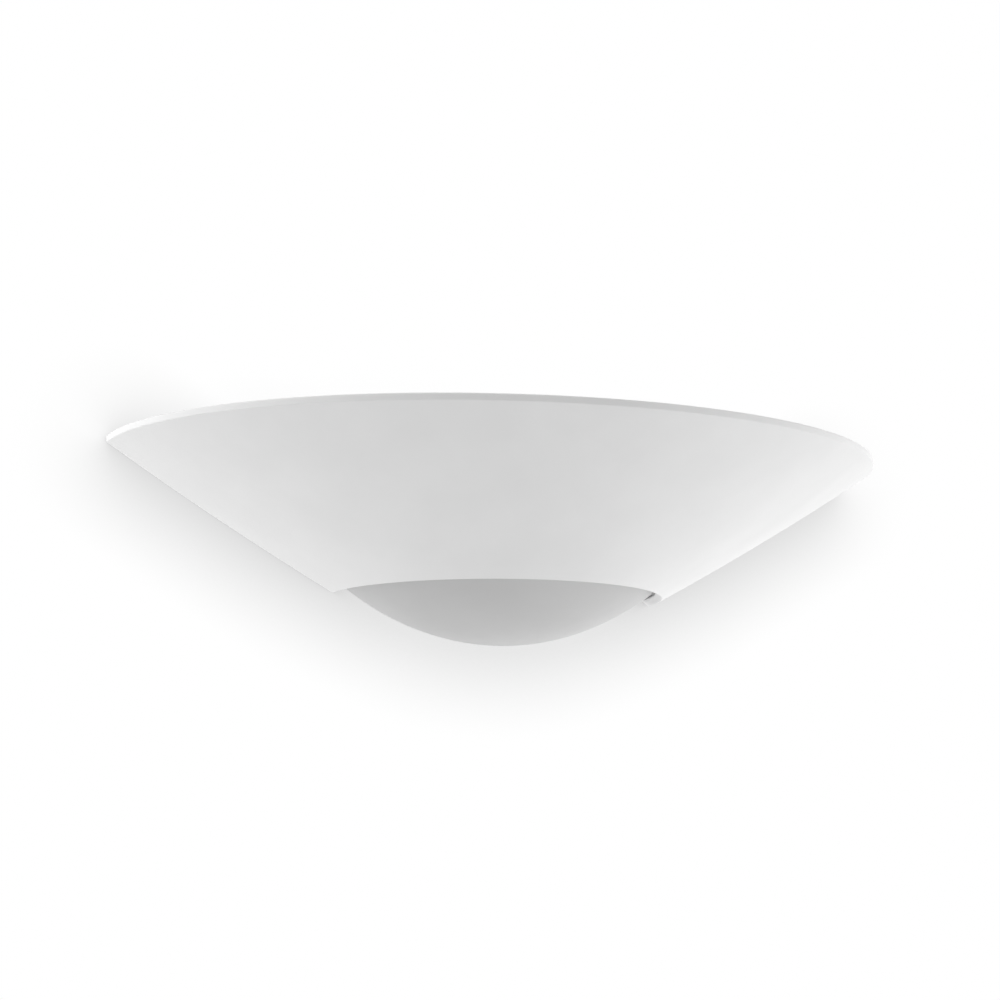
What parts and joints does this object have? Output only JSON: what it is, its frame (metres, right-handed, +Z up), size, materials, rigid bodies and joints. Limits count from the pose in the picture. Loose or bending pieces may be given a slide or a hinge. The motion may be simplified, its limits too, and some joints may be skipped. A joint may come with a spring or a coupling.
{
  "type": "uplighter wall sconce",
  "caption": "Half-bowl ceramic uplighter wall light with an opal glass half-dish in its bottom, hung on a steel wall bracket that carries a screw lamp.",
  "frame": {"origin": "middle of the two wall slots, on the wall plane", "axes": "+X along the wall to the viewer's right, +Y into the wall, +Z up"},
  "size_m": [0.37, 0.1552, 0.0884],
  "materials": {
    "shade_ceramic": "matt white biscuit ceramic",
    "opal_glass": "opal glass with an etched outside",
    "bracket_paint": "white powder coat",
    "zinc_steel": "bright zinc plate",
    "brass": "plain turned brass",
    "spring_bronze": "plain rolled strip",
    "nickel": "dull nickel plate",
    "cap_metal": "thin rolled sheet",
    "black_rubber": "matt",
    "clear_silicone": "translucent",
    "white_nylon": "moulded",
    "holder_phenolic": "moulded, half gloss",
    "steatite": "unglazed",
    "brown_core": "smooth wire cover",
    "blue_core": "smooth wire cover",
    "earth_core": "smooth wire cover, green with a yellow stripe",
    "grey_felt": "pressed felt",
    "lamp_opal": "opal lamp glass",
    "stem_glass": "clear",
    "tungsten": "drawn wire",
    "black_glass": "fused glass insulator"
  },
  "bodies": {
    "wall_bracket": {"back_plate": "bracket_paint", "hook_brackets": "zinc_steel", "hook_rivets": "zinc_steel", "hook_sleeves": "clear_silicone", "cable_grommet": "black_rubber", "terminal_block": "white_nylon", "terminal_barrels": "brass", "terminal_screws": "zinc_steel", "terminal_block_screws": "zinc_steel", "terminal_block_nuts": "zinc_steel", "earth_screw": "brass", "earth_washer": "zinc_steel", "earth_ring_tag": "nickel", "earth_nut": "brass", "earth_wire": "earth_core", "lampholder_arm": "zinc_steel", "arm_screws": "zinc_steel", "arm_nuts": "zinc_steel", "holder_nipple": "zinc_steel", "nipple_nut": "zinc_steel", "nipple_washer": "zinc_steel", "holder_cap": "holder_phenolic", "holder_insert": "steatite", "holder_terminal_screws": "brass", "holder_skirt": "holder_phenolic", "holder_screw_shell": "nickel", "holder_centre_contact": "spring_bronze", "holder_side_contact": "spring_bronze", "live_wire": "brown_core", "neutral_wire": "blue_core", "wire_clips": "white_nylon"},
    "shade": {"ceramic_shade": "shade_ceramic", "wall_pads": "grey_felt", "glass_cushions": "clear_silicone"},
    "glass": {"glass_bowl": "opal_glass"},
    "lamp_foot": {"lamp_insulator": "black_glass", "lamp_contact": "nickel"},
    "lamp": {"lamp_globe": "lamp_opal", "lamp_cap": "cap_metal", "lamp_stem": "stem_glass", "lamp_lead_wires": "nickel", "lamp_filament": "tungsten"}
  },
  "joints": [
    {"name": "shade_lift", "type": "slide", "parent": "wall_bracket", "child": "shade", "axis": [0, 0, 1], "range_m": [0, 0.006]},
    {"name": "glass_lift", "type": "slide", "parent": "shade", "child": "glass", "axis": [0, 0, 1], "range_m": [0, 0.004]},
    {"name": "lamp_advance", "type": "slide", "parent": "wall_bracket", "child": "lamp_foot", "axis": [1, 0, 0], "range_m": [0, 0.01462]},
    {"name": "lamp_turn", "type": "hinge", "parent": "lamp_foot", "child": "lamp", "pos_m": [0, -0.046, -0.006], "axis": [1, 0, 0], "range_deg": [0, 1440]}
  ],
  "couplings": [
    {"joint": "lamp_advance", "follows": "lamp_turn", "m_per_rad": 0.00057757}
  ]
}
